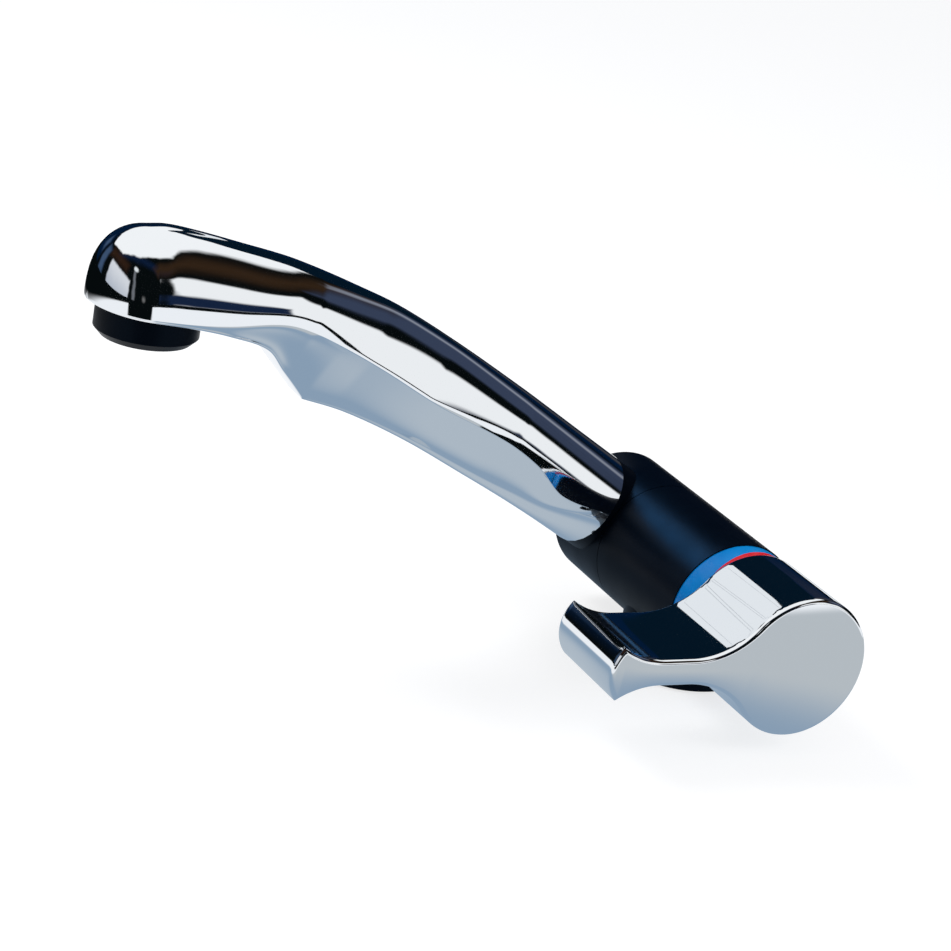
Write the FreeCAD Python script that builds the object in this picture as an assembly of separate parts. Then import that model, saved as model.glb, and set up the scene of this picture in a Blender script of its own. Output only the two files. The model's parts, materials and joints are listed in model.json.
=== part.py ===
import FreeCAD, Part
import math
import os

# Single-lever mixer tap with a horizontal body, a side lever and a folding spout.
# Millimetres, +Z up. Origin: centre of the seat under the base. The body axis runs along X,
# the lever is at the +X end and the spout reaches towards -Y. Rest pose: spout raised, lever closed.

# Body and its axis
axis_height = 28.0
body_radius = 21.0
body_length = 45.0
body_wall = 2.2
part_gap = 0.3
run_gap = 0.06
fixed_gap = 0.05

# Base, swivel and mounting through the worktop
flange_radius = 22.0
flange_top = 5.0
gasket_inner = 17.2
gasket_outer = 21.0
gasket_height = 1.5
gasket_proud = 0.5
shank_radius = 16.0
shank_bore = 13.0
shank_length = 52.0
shank_collar = 18.5
collar_height = 2.0
slip_height = 0.6
neck_radius = 18.5
sleeve_bore = 11.0
sleeve_flange_radius = 15.5
sleeve_flange_height = 2.0
sleeve_tail = 4.0
clip_height = 1.4
clip_radius = 15.0
clip_groove = 0.9
worktop = 25.0
rubber_washer_height = 3.0
steel_washer_height = 2.0
washer_radius = 22.0
nut_height = 9.0
nut_radius = 21.0
tail_radius = 4.0
tail_bore = 3.0
tail_spread = 4.7
tail_x = -5.0
tail_straight = 4.0
tail_splay = 25.0
tail_bend = 22.0
tail_end = 30.0
grommet_height = 6.0
cable_hole = 2.2
cable_x = 5.5
clip_mouth = 5.0

# Water block and cartridge
floor_height = 10.5
block_floor = 13.0
block_gap = 0.2
end_wall = 3.5
cartridge_back = -1.0
cartridge_radius = 12.5
cartridge_bore = 11.6
base_height = 3.0
disc_height = 3.0
fixed_disc_radius = 11.5
moving_disc_radius = 8.0
carrier_radius = 7.8
carrier_height = 5.0
port_radius = 2.2
port_y = 4.7
port_z = -4.5
outlet_z = 6.0
seal_height = 0.9
seal_wall = 1.0
rotor_flange_height = 3.8
rotor_neck_radius = 9.1
rotor_neck_out = 4.5
housing_flange_radius = 14.5
housing_flange_height = 3.0
housing_lip_height = 3.6
nut_bore_length = 8.5
nut_bore_radius = 17.6
pivot_radius = 1.5
pivot_length = 16.0
stem_width = 6.0
stem_ball = 3.0
ball_in_carrier = 3.48
stem_neck = 2.2
stem_reach = 29.5
stem_slot = 6.6

# Microswitch beside the cartridge
switch_depth = 5.5
switch_width = 5.8
switch_from_block = 1.8
switch_from_flange = 1.4
plunger_radius = 1.0
plunger_length = 4.3
plunger_from_end = 3.1
plunger_tip = 10.2
plunger_travel = 1.3

# Indicator dome and lever
ring_depth = 7.35
dome_radius = 20.6
dome_reach = 13.5
dome_bore = 12.0
dome_bore_back = 14.0
red_middle = 5.8
red_swing = 3.4
red_angle = 35.0
lever_depth = 32.5
lever_radius = 21.3
lever_neck = 3.9
lever_blend = 26.0
lever_flare_start = 46.0
lever_flare_radius = 24.0
lever_corner = 59.4
lever_tip = 62.4
lever_edge = 0.7
lever_pocket = 19.5
lever_pocket_inner = 17.9
lever_front_wall = 3.0
lever_mouth_depth = 4.0
boss_radius = 8.0
boss_start = 18.8
set_screw_radius = 2.5
set_screw_length = 8.0
set_screw_socket = 1.4
set_screw_socket_depth = 2.5
set_screw_from_end = 14.0
pillar_radius = 5.0
plug_radius = 3.5
plug_height = 1.6
plug_recess = 0.35

# Swivel joint on the far end
swivel_length = 30.0
swivel_fillet = 2.0
spigot_radius = 9.0
spigot_bore = 5.5
spigot_port = 2.6
spigot_thread = 7.0
spigot_chamber = 2.5
block_chamber_step = 0.5
spigot_end_gap = 6.3
chamber_radius = 12.0
chamber_length = 10.0
oring_width = 2.0
oring_depth = 1.5
oring_from_end = 4.5
end_washer_height = 1.3
end_washer_radius = 12.0
end_screw_radius = 3.0
end_screw_head = 5.5
end_screw_head_height = 2.5
end_screw_length = 12.0
end_screw_socket = 2.3
end_screw_socket_depth = 1.5
cap_radius = 14.0
cap_height = 2.0
stop_pin_radius = 1.5
stop_pin_ring = 16.0
stop_pin_out = 3.6
stop_pin_in = 2.5
stop_pin_angle = 60.0
fold_range = 24.0
root_angle = 29.5
boss_out = 22.7
boss_outer = 15.0
nose_radius = 11.0
nose_length = 11.0
nose_channel = 3.0
nose_seal_from_end = 1.5

# Spout
spout_wall = 2.4
keel_fall = 1.6
spout_screw_radius = 2.0
spout_screw_along = 3.6
spout_screw_depth = 5.0
spout_screw_out = 2.6
spout_screw_length = 6.8
tube_radius = 4.0
tube_bore = 3.0
tube_bend = 60.0
tube_seat = 2.0
tube_straight = 67.0
head_floor_up = 1.2
head_floor_height = 3.0
outlet_y = -171.0
outlet_rise = 58.7
aerator_radius = 14.8
aerator_height = 9.6
aerator_bore = 10.6
aerator_neck_radius = 9.0
aerator_neck_height = 6.0
aerator_duct = 6.5
aerator_bevel = 2.0
aerator_floor = 2.5
aerator_seal_height = 0.2
aerator_well_wall = 2.5
aerator_well_floor = 2.0
mesh_height = 1.6
mesh_recess = 0.8
mesh_hole = 0.7
mesh_pitch = 2.7
mesh_rings = 3
mesh_wall = 2.0
socket_half_width = 7.0
socket_height = 9.5
socket_back = 9.0
socket_over_tube = 4.0
socket_duct = 5.0
socket_duct_drop = 0.6

# Values that follow from the sizes above
body_start = -body_length / 2.0
body_end = body_length / 2.0
body_inner = body_radius - body_wall
lever_back = body_end + ring_depth
lever_face = lever_back + lever_depth
set_screw_x = lever_face - set_screw_from_end
swivel_start = body_start - part_gap
swivel_end = swivel_start - swivel_length
spout_x = swivel_start - swivel_length / 2.0
block_start = body_start + end_wall
disc_start = cartridge_back + base_height
moving_start = disc_start + disc_height + 0.02
carrier_start = moving_start + disc_height
ball_x = carrier_start + ball_in_carrier
rotor_start = carrier_start + carrier_height + 0.4
neck_start = rotor_start + rotor_flange_height
housing_flange_start = body_end - nut_bore_length + 1.0
switch_start = cartridge_back + switch_from_block
switch_end = housing_flange_start - switch_from_flange
plunger_x = switch_end - plunger_from_end
shank_bottom = flange_top - shank_length
sleeve_radius = shank_bore - run_gap
sleeve_bottom = shank_bottom - sleeve_tail
neck_bottom = flange_top + slip_height + run_gap
outlet_bottom = axis_height + outlet_rise
nose_end = boss_out + nose_length
seal_end = nose_end - nose_seal_from_end
screw_reach = 2.0 * boss_out

X_AXIS = FreeCAD.Vector(1, 0, 0)
Z_AXIS = FreeCAD.Vector(0, 0, 1)
CENTRE = FreeCAD.Vector(0, 0, axis_height)


def vec(x, y, z):
    return FreeCAD.Vector(x, y, z)


def cyl_x(start, end, radius, y=0.0, up=0.0):
    return Part.makeCylinder(radius, end - start, vec(start, y, axis_height + up), X_AXIS)


def tube_x(start, end, outer, inner, y=0.0, up=0.0):
    return cyl_x(start, end, outer, y, up).cut(cyl_x(start - 1.0, end + 1.0, inner, y, up))


def cyl_z(bottom, top, radius, x=0.0, y=0.0):
    return Part.makeCylinder(radius, top - bottom, vec(x, y, bottom), Z_AXIS)


def tube_z(bottom, top, outer, inner, x=0.0, y=0.0):
    return cyl_z(bottom, top, outer, x, y).cut(cyl_z(bottom - 1.0, top + 1.0, inner, x, y))


def box(x0, x1, y0, y1, z0, z1):
    return Part.makeBox(x1 - x0, y1 - y0, z1 - z0, vec(x0, y0, z0))


def hexagon(bottom, top, across_corners):
    corners = [vec(across_corners * math.cos(math.radians(60 * i)),
                   across_corners * math.sin(math.radians(60 * i)), bottom) for i in range(7)]
    return Part.Face(Part.makePolygon(corners)).extrude(vec(0, 0, top - bottom))


def fold_axis(distance, up=0.0, x=spout_x):
    """Point at a distance from the body axis along the spout's root direction."""
    a = math.radians(root_angle)
    y = -distance * math.cos(a) + up * math.sin(a)
    z = axis_height + distance * math.sin(a) + up * math.cos(a)
    return vec(x, y, z)


def root_cylinder(start, end, radius):
    direction = fold_axis(1.0) - fold_axis(0.0)
    return Part.makeCylinder(radius, end - start, fold_axis(start), direction)


def save(name, shape):
    solids = [s for s in shape.Solids]
    result = solids[0] if len(solids) == 1 else Part.makeCompound(solids)
    result.exportStep("parts/%s.step" % name)
    print(name, len(solids), round(sum(s.Volume for s in solids), 1),
          "valid" if result.isValid() else "INVALID")
    return result


# Base and what clamps it to the worktop

def base_flange():
    disc = cyl_z(gasket_proud, flange_top, flange_radius)
    rim = [e for e in disc.Edges if abs(e.BoundBox.ZMin - flange_top) < 1e-6
           and abs(e.BoundBox.ZMax - flange_top) < 1e-6]
    disc = disc.makeFillet(1.5, rim)
    seat = tube_z(-1.0, gasket_height, gasket_outer + fixed_gap, gasket_inner - fixed_gap)
    bore = cyl_z(-1.0, flange_top + 1.0, shank_radius + fixed_gap)
    collar = cyl_z(flange_top - collar_height, flange_top + 1.0, shank_collar + fixed_gap)
    return disc.cut(seat).cut(bore).cut(collar)


def base_gasket():
    return tube_z(0.0, gasket_height, gasket_outer, gasket_inner)


def mounting_shank():
    tube = cyl_z(shank_bottom, flange_top, shank_radius)
    tube = tube.fuse(cyl_z(flange_top - collar_height, flange_top, shank_collar))
    return tube.cut(cyl_z(shank_bottom - 1.0, flange_top + 1.0, shank_bore)).removeSplitter()


def clamp_stack():
    top = -worktop
    bore = shank_radius + fixed_gap
    rubber = tube_z(top - rubber_washer_height, top, washer_radius, bore)
    top -= rubber_washer_height
    steel = tube_z(top - steel_washer_height, top, washer_radius, bore)
    top -= steel_washer_height
    nut = hexagon(top - nut_height, top, nut_radius).cut(cyl_z(top - nut_height - 1.0, top + 1.0, bore))
    return rubber, steel, nut


def slip_ring():
    return tube_z(flange_top, flange_top + slip_height, shank_collar, sleeve_radius + run_gap)


# Swivelling body

def body_shell():
    shell = cyl_x(body_start, body_end, body_radius)
    shell = shell.fuse(cyl_z(neck_bottom, axis_height, neck_radius))
    shell = shell.cut(cyl_x(body_start + end_wall, body_end - nut_bore_length, body_inner))
    shell = shell.cut(cyl_x(body_end - nut_bore_length - 1.0, body_end + 1.0, nut_bore_radius))
    shell = shell.fuse(cyl_z(neck_bottom, floor_height, sleeve_flange_radius + 1.0))
    shell = shell.cut(cyl_z(neck_bottom - 1.0, floor_height + 1.0, sleeve_radius + fixed_gap))
    shell = shell.cut(cyl_z(floor_height, floor_height + sleeve_flange_height + part_gap,
                            sleeve_flange_radius + fixed_gap))
    shell = shell.cut(cyl_x(body_start - 1.0, block_start + 1.0, spigot_radius + fixed_gap))
    shell = shell.cut(cyl_z(0.0, neck_bottom, flange_radius + body_wall))
    return shell.cut(stop_pin(fixed_gap)).removeSplitter()


def swivel_sleeve():
    sleeve = cyl_z(sleeve_bottom, floor_height + sleeve_flange_height, sleeve_radius)
    sleeve = sleeve.fuse(cyl_z(floor_height, floor_height + sleeve_flange_height, sleeve_flange_radius))
    sleeve = sleeve.cut(cyl_z(sleeve_bottom - 1.0, floor_height + sleeve_flange_height + 1.0, sleeve_bore))
    top = shank_bottom - part_gap / 2.0
    groove = tube_z(top - clip_height - fixed_gap, top + fixed_gap, clip_radius, sleeve_radius - clip_groove)
    return sleeve.cut(groove)


def sleeve_clip():
    top = shank_bottom - part_gap / 2.0
    ring = tube_z(top - clip_height, top, clip_radius, sleeve_radius - clip_groove + fixed_gap)
    half = clip_mouth / 2.0
    return ring.cut(box(0.0, clip_radius + 1.0, -half, half, top - clip_height - 1.0, top + 1.0))


def tail(side):
    """Supply tail: straight down through the sleeve, then bent outwards for the hose."""
    top = axis_height + port_z
    knee = sleeve_bottom - tail_straight
    a = math.radians(tail_splay)
    y0 = side * tail_spread
    start = vec(tail_x, y0, top)
    bend_start = vec(tail_x, y0, knee)

    def on_bend(angle):
        return vec(tail_x, y0 + side * tail_bend * (1.0 - math.cos(angle)),
                   knee - tail_bend * math.sin(angle))

    bend_end = on_bend(a)
    foot = bend_end + vec(0, side * tail_end * math.sin(a), -tail_end * math.cos(a))
    path = Part.Wire([Part.LineSegment(start, bend_start).toShape(),
                      Part.Arc(bend_start, on_bend(a / 2.0), bend_end).toShape(),
                      Part.LineSegment(bend_end, foot).toShape()])
    pipes = []
    for radius in (tail_radius, tail_bore):
        circle = Part.Wire(Part.makeCircle(radius, start, vec(0, 0, -1)))
        pipes.append(path.makePipeShell([circle], True, False))
    return pipes[0].cut(pipes[1])


def grommet():
    disc = cyl_z(sleeve_bottom, sleeve_bottom + grommet_height, sleeve_bore - fixed_gap)
    for side in (-1, 1):
        disc = disc.cut(cyl_z(sleeve_bottom - 1.0, sleeve_bottom + grommet_height + 1.0,
                              tail_radius + fixed_gap, tail_x, side * tail_spread))
    return disc.cut(cyl_z(sleeve_bottom - 1.0, sleeve_bottom + grommet_height + 1.0, cable_hole, cable_x))


def water_block():
    block = cyl_x(block_start, cartridge_back, body_inner - block_gap)
    block = block.cut(box(block_start - 1.0, cartridge_back + 1.0, -body_radius, body_radius,
                          0.0, block_floor))
    for side in (-1, 1):
        block = block.cut(cyl_z(0.0, axis_height + port_z, tail_radius + fixed_gap,
                                tail_x, side * tail_spread))
        block = block.cut(cyl_x(tail_x, cartridge_back + 1.0, port_radius, side * port_y, port_z))
        block = block.cut(cyl_z(axis_height + port_z - 1.0, axis_height + port_z + tail_bore,
                                tail_bore, tail_x, side * tail_spread))
    block = block.cut(cyl_x(block_start - 1.0, block_start + spigot_thread, spigot_radius))
    block = block.cut(cyl_x(block_start + spigot_thread - 1.0, block_start + spigot_thread + spigot_chamber,
                            spigot_radius - block_chamber_step))
    return block.cut(cyl_x(block_start + spigot_thread, cartridge_back + 1.0, port_radius, 0.0, outlet_z))


def port_places():
    return [(-port_y, port_z), (port_y, port_z), (0.0, outlet_z)]


def cartridge_base():
    base = cyl_x(cartridge_back, disc_start, cartridge_radius)
    for y, up in port_places():
        base = base.cut(cyl_x(cartridge_back - 1.0, disc_start + 1.0, port_radius, y, up))
        base = base.cut(cyl_x(cartridge_back - 1.0, cartridge_back + seal_height + fixed_gap,
                              port_radius + seal_wall + fixed_gap, y, up))
    return base


def port_seals():
    rings = [tube_x(cartridge_back, cartridge_back + seal_height, port_radius + seal_wall, port_radius, y, up)
             for y, up in port_places()]
    return Part.makeCompound(rings)


def fixed_disc():
    disc = cyl_x(disc_start, disc_start + disc_height, fixed_disc_radius)
    for y, up in port_places():
        disc = disc.cut(cyl_x(disc_start - 1.0, disc_start + disc_height + 1.0, port_radius, y, up))
    return disc


def plunger_way(radius, start, end):
    return Part.makeCylinder(radius, end - start, vec(plunger_x, -end, axis_height), vec(0, 1, 0))


def cartridge_housing():
    lip_end = neck_start + part_gap / 2.0 + housing_lip_height
    tube = cyl_x(disc_start, lip_end, cartridge_radius)
    flange_end = housing_flange_start + housing_flange_height
    tube = tube.fuse(cyl_x(housing_flange_start, flange_end, housing_flange_radius))
    tube = tube.cut(cyl_x(disc_start - 1.0, neck_start + part_gap / 2.0, cartridge_bore))
    tube = tube.cut(cyl_x(neck_start, lip_end + 1.0, rotor_neck_radius + run_gap))
    return tube.cut(plunger_way(plunger_radius + 0.1, cartridge_bore - 1.0, cartridge_radius + 1.0))


def cartridge_nut():
    start = housing_flange_start + housing_flange_height
    end = body_end - 0.1
    nut = tube_x(start, end, nut_bore_radius - fixed_gap, cartridge_radius + fixed_gap)
    notch = 3.0
    for i in range(4):
        slot = box(end - notch / 2.0, end + 1.0, cartridge_radius + 1.5, nut_bore_radius + 1.0,
                   axis_height - notch / 2.0, axis_height + notch / 2.0)
        slot.rotate(CENTRE, X_AXIS, 45.0 + 90.0 * i)
        nut = nut.cut(slot)
    return nut


def micro_switch():
    start = cartridge_radius + block_gap
    case = box(switch_start, switch_end, -start - switch_depth, -start,
               axis_height - switch_width / 2.0, axis_height + switch_width / 2.0)
    return case.cut(plunger_way(plunger_radius + 0.05, start - 1.0,
                                plunger_tip + plunger_length + plunger_travel + 0.3))


def switch_plunger():
    return plunger_way(plunger_radius, plunger_tip, plunger_tip + plunger_length)


def cartridge_rotor():
    rotor = cyl_x(rotor_start, neck_start, cartridge_bore - run_gap)
    rotor = rotor.fuse(cyl_x(neck_start, body_end + rotor_neck_out, rotor_neck_radius))
    half = stem_width / 2.0 + 0.1
    rotor = rotor.cut(box(rotor_start - 1.0, body_end + rotor_neck_out + 1.0, -stem_slot, stem_slot,
                          axis_height - half, axis_height + half))
    reach = rotor_neck_radius + 1.0
    return rotor.cut(cyl_z(axis_height - reach, axis_height + reach, pivot_radius, body_end)).removeSplitter()


def pivot_pin():
    return cyl_z(axis_height - pivot_length / 2.0, axis_height + pivot_length / 2.0, pivot_radius, body_end)


def moving_disc():
    disc = cyl_x(moving_start, carrier_start, moving_disc_radius)
    return disc.cut(cyl_x(moving_start - 1.0, moving_start + disc_height / 2.0, moving_disc_radius - 2.5))


def disc_carrier():
    carrier = cyl_x(carrier_start, carrier_start + carrier_height, carrier_radius)
    half = stem_ball + 0.1
    floor = ball_x - half
    return carrier.cut(box(floor, carrier_start + carrier_height + 1.0, -half, half,
                           axis_height - half, axis_height + half))


# Indicator dome

def dome():
    sphere = Part.makeSphere(dome_radius, vec(body_end, 0, axis_height))
    zone = sphere.common(cyl_x(body_end, body_end + dome_reach, body_radius))
    zone = zone.cut(cyl_x(body_end - 1.0, body_end + ring_depth, dome_bore_back))
    return zone.cut(cyl_x(body_end, body_end + dome_reach + 1.0, dome_bore))


def red_side():
    """Block on the lever side of a tilted plane, which makes the red wedge."""
    big = 60.0
    a = math.radians(red_angle)
    block = box(0.0, big, -big, big, -big, big)
    tilt = math.degrees(math.atan(red_swing / dome_radius))
    block.rotate(vec(0, 0, 0), vec(0, -math.sin(a), math.cos(a)), tilt)
    block.translate(vec(body_end + red_middle, 0, axis_height))
    return block


# Lever

def lever_outline(x):
    """Round disc, waisted arm and flared tip, from tangent arcs, in the plane at x."""
    big = lever_blend
    centre_z = lever_neck + big
    centre_y = -math.sqrt((lever_radius + big) ** 2 - centre_z ** 2)
    share = lever_radius / (lever_radius + big)
    disc_y, disc_z = centre_y * share, centre_z * share
    turn = (math.atan2(disc_z - centre_z, disc_y - centre_y) - math.pi / 2.0) / 2.0
    mid_y = centre_y + big * math.cos(turn)
    mid_z = centre_z + big * math.sin(turn)
    flare_z = lever_neck + lever_flare_radius
    corner_run = lever_corner - lever_flare_start
    corner_z = flare_z - math.sqrt(lever_flare_radius ** 2 - corner_run ** 2)
    half_run = corner_run / 2.0
    half_z = flare_z - math.sqrt(lever_flare_radius ** 2 - half_run ** 2)

    def at(y, z):
        return vec(x, y, axis_height + z)

    edges = [Part.Arc(at(disc_y, disc_z), at(lever_radius, 0.0), at(disc_y, -disc_z)).toShape()]
    for side in (1, -1):
        edges.append(Part.Arc(at(disc_y, side * disc_z), at(mid_y, side * mid_z),
                              at(centre_y, side * lever_neck)).toShape())
        edges.append(Part.LineSegment(at(centre_y, side * lever_neck),
                                      at(-lever_flare_start, side * lever_neck)).toShape())
        edges.append(Part.Arc(at(-lever_flare_start, side * lever_neck),
                              at(-lever_flare_start - half_run, side * half_z),
                              at(-lever_corner, side * corner_z)).toShape())
    tip = Part.Arc(at(-lever_corner, corner_z), at(-lever_tip, 0.0), at(-lever_corner, -corner_z))
    edges.append(tip.toShape())
    return Part.Wire(Part.__sortEdges__(edges))


def lever():
    solid = Part.Face(lever_outline(lever_back)).extrude(vec(lever_depth, 0, 0))
    front = [e for e in solid.Edges if abs(e.BoundBox.XMin - lever_face) < 1e-6]
    solid = solid.makeChamfer(lever_edge, front)
    inner_end = lever_face - lever_front_wall
    solid = solid.cut(cyl_x(lever_back - 1.0, lever_back + lever_mouth_depth, lever_pocket))
    solid = solid.cut(cyl_x(lever_back, inner_end, lever_pocket_inner))
    boss = cyl_x(body_end + boss_start, inner_end + 0.5, boss_radius)
    pillar = cyl_z(axis_height - lever_pocket_inner - 1.0, axis_height, pillar_radius, set_screw_x)
    solid = solid.fuse(boss.fuse(pillar))
    half = stem_width / 2.0 + fixed_gap
    stem_end = body_end + stem_reach
    solid = solid.cut(box(lever_back, stem_end + 0.2, -half, half, axis_height - half, axis_height + half))
    solid = solid.cut(cyl_z(0.0, axis_height, set_screw_radius + fixed_gap, set_screw_x))
    plug_bottom = axis_height - lever_radius
    return solid.cut(cyl_z(plug_bottom - 1.0, plug_bottom + plug_height + plug_recess + 0.25,
                           plug_radius + fixed_gap, set_screw_x))


def lever_stem():
    half = stem_width / 2.0
    bar_start = ball_x + stem_ball + 0.6
    bar = box(bar_start, body_end + stem_reach, -half, half, axis_height - half, axis_height + half)
    stem = bar.fuse(cyl_x(ball_x, bar_start + 1.0, stem_neck))
    stem = stem.fuse(Part.makeSphere(stem_ball, vec(ball_x, 0, axis_height)))
    return stem.cut(cyl_z(0.0, 2 * axis_height, pivot_radius + run_gap, body_end)).removeSplitter()


def lever_set_screw():
    top = axis_height - stem_width / 2.0 - fixed_gap
    screw = cyl_z(top - set_screw_length, top, set_screw_radius, set_screw_x)
    bottom = top - set_screw_length
    socket = hexagon(bottom - 1.0, bottom + set_screw_socket_depth, set_screw_socket)
    socket.translate(vec(set_screw_x, 0, 0))
    return screw.cut(socket)


def lever_screw_plug():
    bottom = axis_height - lever_radius + plug_recess
    return cyl_z(bottom, bottom + plug_height, plug_radius, set_screw_x)


# Swivel joint

def stop_pin(gap=0.0):
    pin = cyl_x(body_start - stop_pin_out, body_start + stop_pin_in, stop_pin_radius + gap,
                0.0, stop_pin_ring)
    pin.rotate(CENTRE, X_AXIS, stop_pin_angle)
    return pin


def stop_groove():
    """Arc slot in the swivel ring that the stop pin travels in as the spout folds."""
    half = stop_pin_radius + 0.15
    margin = math.degrees(math.asin(half / stop_pin_ring))
    x0 = swivel_start - (stop_pin_out - part_gap) - part_gap
    low = axis_height + stop_pin_ring - half
    high = axis_height + stop_pin_ring + half
    corners = [vec(x0, 0, low), vec(swivel_start + 1.0, 0, low), vec(swivel_start + 1.0, 0, high),
               vec(x0, 0, high), vec(x0, 0, low)]
    face = Part.Face(Part.makePolygon(corners))
    groove = face.revolve(CENTRE, X_AXIS, fold_range + 2.0 * margin)
    groove.rotate(CENTRE, X_AXIS, stop_pin_angle - fold_range - margin)
    return groove


def spigot_tip():
    return swivel_end + spigot_end_gap


def spigot():
    start = block_start + spigot_thread - 0.5
    tip = spigot_tip()
    tube = cyl_x(tip, start, spigot_radius - fixed_gap)
    tube = tube.cut(cyl_x(spout_x - 3.5, start + 1.0, spigot_bore))
    for x0 in oring_places():
        tube = tube.cut(tube_x(x0 - fixed_gap, x0 + oring_width + fixed_gap, spigot_radius + 1.0,
                               spigot_radius - oring_depth))
    for i in range(4):
        hole = Part.makeCylinder(spigot_port, spigot_radius + 1.0, vec(spout_x, 0, axis_height), Z_AXIS)
        hole.rotate(CENTRE, X_AXIS, 90.0 * i)
        tube = tube.cut(hole)
    return tube.cut(cyl_x(tip - 1.0, tip + end_screw_length - 2.0, end_screw_radius))


def oring_places():
    return [swivel_start - oring_from_end - oring_width, spigot_tip() + oring_from_end - oring_width]


def spigot_orings():
    return Part.makeCompound([tube_x(x0, x0 + oring_width, spigot_radius,
                                     spigot_radius - oring_depth + fixed_gap) for x0 in oring_places()])


def end_washer():
    tip = spigot_tip()
    return tube_x(tip - end_washer_height - fixed_gap, tip - fixed_gap, end_washer_radius,
                  end_screw_radius + 0.1)


def end_screw():
    head_end = spigot_tip() - end_washer_height - fixed_gap
    screw = cyl_x(head_end - end_screw_head_height, head_end, end_screw_head)
    screw = screw.fuse(cyl_x(head_end - 1.0, head_end + end_screw_length - 1.5, end_screw_radius - fixed_gap))
    outer = head_end - end_screw_head_height
    return screw.cut(cyl_x(outer - 1.0, outer + end_screw_socket_depth, end_screw_socket))


def swivel_ring():
    ring = cyl_x(swivel_end, swivel_start, body_radius)
    far = [e for e in ring.Edges if abs(e.BoundBox.XMax - swivel_end) < 1e-6]
    ring = ring.makeFillet(swivel_fillet, far)
    boss = root_cylinder(0.0, boss_out, boss_outer)
    nose = root_cylinder(boss_out - 1.0, nose_end, nose_radius)
    ring = ring.fuse(boss.fuse(nose))
    ring = ring.cut(cyl_x(swivel_end - 1.0, swivel_start + 1.0, spigot_radius + run_gap - fixed_gap))
    ring = ring.cut(cyl_x(spout_x - chamber_length / 2.0, spout_x + chamber_length / 2.0, chamber_radius))
    ring = ring.cut(root_cylinder(chamber_radius - 1.0, nose_end + 1.0, nose_channel))
    ring = ring.cut(root_cylinder(boss_out + tube_seat, nose_end + 1.0, tube_radius + fixed_gap))
    washer_room = spigot_tip() - fixed_gap + part_gap / 2.0
    ring = ring.cut(cyl_x(swivel_end - 1.0, washer_room, end_washer_radius + 0.3))
    ring = ring.cut(cyl_x(swivel_end - 1.0, swivel_end + cap_height, cap_radius + fixed_gap))
    groove = root_cylinder(seal_end - oring_width - fixed_gap, seal_end + fixed_gap, nose_radius + 1.0)
    groove = groove.cut(root_cylinder(0.0, seal_end + 1.0, nose_radius - oring_depth))
    return ring.cut(groove).cut(stop_groove()).cut(spout_screw_hole())


def nose_seal():
    ring = root_cylinder(seal_end - oring_width, seal_end, nose_radius)
    return ring.cut(root_cylinder(0.0, seal_end + 1.0, nose_radius - oring_depth + fixed_gap))


def ring_end_cap():
    return cyl_x(swivel_end, swivel_end + cap_height, cap_radius)


# Spout outline: stations from the root to the tip. Each has the top point (y, z above the axis),
# the slope of the spout there, the full height, half width, height of the round top,
# half thickness of the keel at the bottom and the radius of the bottom corners.
spout_stations = [
    (-12.5, 24.6, 29.5, 30.2, 15.6, 15.1, 15.6, 13.5),
    (-27.5, 33.4, 29.5, 30.2, 14.2, 15.0, 11.0, 6.0),
    (-51.0, 47.2, 28.5, 31.5, 12.4, 15.4, 7.0, 2.5),
    (-73.8, 59.9, 27.5, 32.6, 12.0, 15.4, 6.2, 1.5),
    (-95.0, 70.6, 24.5, 34.4, 12.2, 15.2, 6.0, 1.2),
    (-111.0, 76.7, 20.5, 35.8, 12.8, 14.8, 6.0, 1.0),
]
head_stations = [
    (-111.0, 76.7, 20.5, 35.8, 12.8, 14.8, 6.0, 1.0),
    (-122.3, 80.6, 17.5, 30.2, 13.3, 14.2, 7.2, 1.0),
    (-132.0, 83.5, 14.5, 25.2, 14.0, 13.0, 10.5, 0.8),
    (-147.0, 86.8, 11.0, 23.4, 15.0, 13.2, 14.4, 0.6),
    (-160.0, 89.5, 9.0, 23.6, 15.7, 13.5, 15.5, 0.6),
    (-168.5, 90.8, 4.0, 23.9, 15.9, 14.0, 15.8, 0.6),
    (-174.5, 90.6, 0.0, 23.2, 15.9, 14.0, 15.8, 0.6),
    (-180.0, 88.8, 0.0, 20.8, 14.6, 13.5, 14.5, 0.6),
    (-184.5, 85.6, 0.0, 17.2, 11.6, 11.5, 11.5, 0.6),
    (-187.6, 81.6, 0.0, 12.8, 7.7, 9.0, 7.6, 0.6),
    (-189.2, 77.6, 0.0, 8.7, 3.9, 6.0, 3.8, 0.6),
]
hollow_stations = [
    (-10.5, 23.5, 29.5, 30.2, 15.6, 15.1, 15.6, 14.5),
    (-27.5, 33.4, 29.5, 29.4, 14.2, 13.6, 13.8, 12.6),
    (-51.0, 47.2, 28.5, 24.8, 12.4, 12.2, 10.0, 9.0),
    (-73.8, 59.9, 27.5, 24.0, 12.0, 12.0, 9.0, 8.0),
    (-95.0, 70.6, 24.5, 24.4, 12.2, 12.2, 9.0, 8.0),
    (-111.0, 76.7, 20.5, 25.0, 12.8, 12.6, 9.0, 8.0),
    (-122.3, 80.6, 17.5, 25.0, 13.3, 12.8, 9.5, 8.0),
    (-138.0, 84.8, 13.0, 24.6, 14.3, 13.0, 11.0, 8.0),
]
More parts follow.
